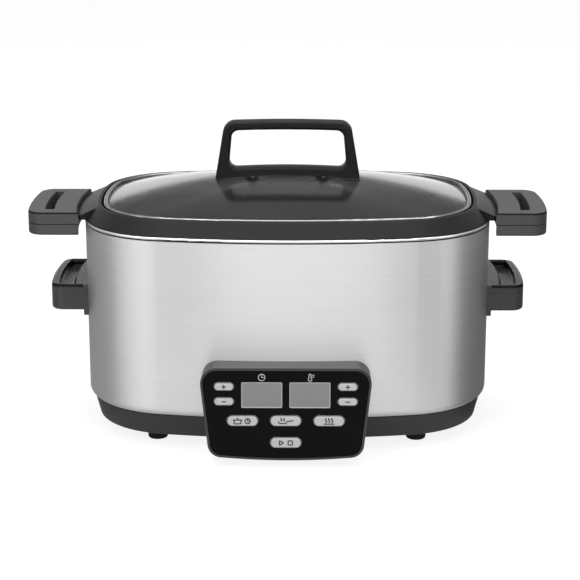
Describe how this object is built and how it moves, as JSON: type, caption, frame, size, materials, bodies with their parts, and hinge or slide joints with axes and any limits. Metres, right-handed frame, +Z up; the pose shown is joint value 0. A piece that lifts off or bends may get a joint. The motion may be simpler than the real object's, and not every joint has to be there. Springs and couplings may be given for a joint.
{
  "type": "slow cooker",
  "caption": "Oval countertop slow cooker: steel shell, lift-out non-stick pot with side grips, domed glass lid with arched handle, and a front console with displays and push buttons.",
  "frame": {"origin": "centre of the whole object's box, on the surface that the feet stand on", "axes": "+X to the right along the width across the grips, -Y to the front where the console is, +Z up"},
  "size_m": [0.465, 0.2828, 0.272],
  "materials": {
    "brushed_shell": "brushed stainless sheet",
    "liner_steel": "formed bright steel",
    "bright_band": "polished stainless band",
    "cast_aluminium": "cast and machined",
    "steel_inner": "drawn steel",
    "nonstick_pot": "black non-stick coating on cast aluminium",
    "lid_glass": "clear tempered glass",
    "grip_plastic": "satin moulded phenolic",
    "grey_plastic": "satin moulded plastic",
    "black_plastic": "matt moulded plastic",
    "black_rubber": "moulded rubber",
    "gloss_black": "gloss acrylic",
    "display_panel": "blank liquid crystal panel",
    "silver_button": "satin metallised plastic",
    "circuit_board": "solder-masked laminate",
    "component_black": "moulded cases",
    "screw_steel": "plated steel"
  },
  "bodies": {
    "base": {"base_skirt": "grey_plastic", "board_screws": "screw_steel", "bottom_cover": "black_plastic", "button_switches": "component_black", "console_faceplate": "gloss_black", "console_housing": "grey_plastic", "console_screws": "screw_steel", "control_board": "circuit_board", "cord_gland": "black_rubber", "cover_screws": "screw_steel", "foot_front_left": "black_rubber", "foot_front_right": "black_rubber", "foot_rear_left": "black_rubber", "foot_rear_right": "black_rubber", "heater_plate": "cast_aluminium", "heating_element": "steel_inner", "inner_liner": "liner_steel", "outer_shell": "brushed_shell", "power_board": "circuit_board", "power_board_screws": "screw_steel", "relay": "component_black", "rim_gasket": "black_rubber", "sensor_holder": "cast_aluminium", "sensor_spring": "steel_inner", "side_handle_left": "grey_plastic", "side_handle_right": "grey_plastic", "side_handle_screws": "screw_steel", "temperature_display": "display_panel", "thermal_fuse": "steel_inner", "time_display": "display_panel", "transformer": "component_black"},
    "pot": {"cooking_pot": "nonstick_pot", "pot_grip_right_top": "grip_plastic", "pot_grip_left_top": "grip_plastic", "pot_grip_right_bottom": "grip_plastic", "pot_grip_left_bottom": "grip_plastic", "pot_grip_screws": "screw_steel"},
    "lid": {"lid_rim": "bright_band", "lid_glass": "lid_glass", "lid_handle": "grip_plastic", "lid_washers": "black_rubber", "lid_screws": "screw_steel"},
    "sensor": {"sensor_cap": "cast_aluminium"},
    "time_plus": {"time_plus_button": "silver_button"},
    "time_minus": {"time_minus_button": "silver_button"},
    "temperature_plus": {"temperature_plus_button": "silver_button"},
    "temperature_minus": {"temperature_minus_button": "silver_button"},
    "mode_left": {"mode_button_left": "silver_button"},
    "mode_middle": {"mode_button_middle": "silver_button"},
    "mode_right": {"mode_button_right": "silver_button"},
    "start_stop": {"start_stop_button": "silver_button"}
  },
  "joints": [
    {"name": "pot_lift", "type": "slide", "parent": "base", "child": "pot", "axis": [0, 0, 1], "range_m": [0, 0.18]},
    {"name": "lid_lift", "type": "slide", "parent": "pot", "child": "lid", "axis": [0, 0, 1], "range_m": [0, 0.15]},
    {"name": "sensor_dip", "type": "slide", "parent": "base", "child": "sensor", "axis": [0, 0, 1], "range_m": [-0.002, 0], "stiffness_N_per_m": 400, "springref_m": 0.003, "deforming": ["sensor_spring"]},
    {"name": "time_plus_press", "type": "slide", "parent": "base", "child": "time_plus", "axis": [0, 0.9965, -0.0837], "range_m": [0, 0.0008], "stiffness_N_per_m": 900, "springref_m": -0.0008},
    {"name": "time_minus_press", "type": "slide", "parent": "base", "child": "time_minus", "axis": [0, 0.9965, -0.0837], "range_m": [0, 0.0008], "stiffness_N_per_m": 900, "springref_m": -0.0008},
    {"name": "temperature_plus_press", "type": "slide", "parent": "base", "child": "temperature_plus", "axis": [0, 0.9965, -0.0837], "range_m": [0, 0.0008], "stiffness_N_per_m": 900, "springref_m": -0.0008},
    {"name": "temperature_minus_press", "type": "slide", "parent": "base", "child": "temperature_minus", "axis": [0, 0.9965, -0.0837], "range_m": [0, 0.0008], "stiffness_N_per_m": 900, "springref_m": -0.0008},
    {"name": "mode_left_press", "type": "slide", "parent": "base", "child": "mode_left", "axis": [0, 0.9965, -0.0837], "range_m": [0, 0.0008], "stiffness_N_per_m": 900, "springref_m": -0.0008},
    {"name": "mode_middle_press", "type": "slide", "parent": "base", "child": "mode_middle", "axis": [0, 0.9965, -0.0837], "range_m": [0, 0.0008], "stiffness_N_per_m": 900, "springref_m": -0.0008},
    {"name": "mode_right_press", "type": "slide", "parent": "base", "child": "mode_right", "axis": [0, 0.9965, -0.0837], "range_m": [0, 0.0008], "stiffness_N_per_m": 900, "springref_m": -0.0008},
    {"name": "start_stop_press", "type": "slide", "parent": "base", "child": "start_stop", "axis": [0, 0.9965, -0.0837], "range_m": [0, 0.0008], "stiffness_N_per_m": 900, "springref_m": -0.0008}
  ]
}
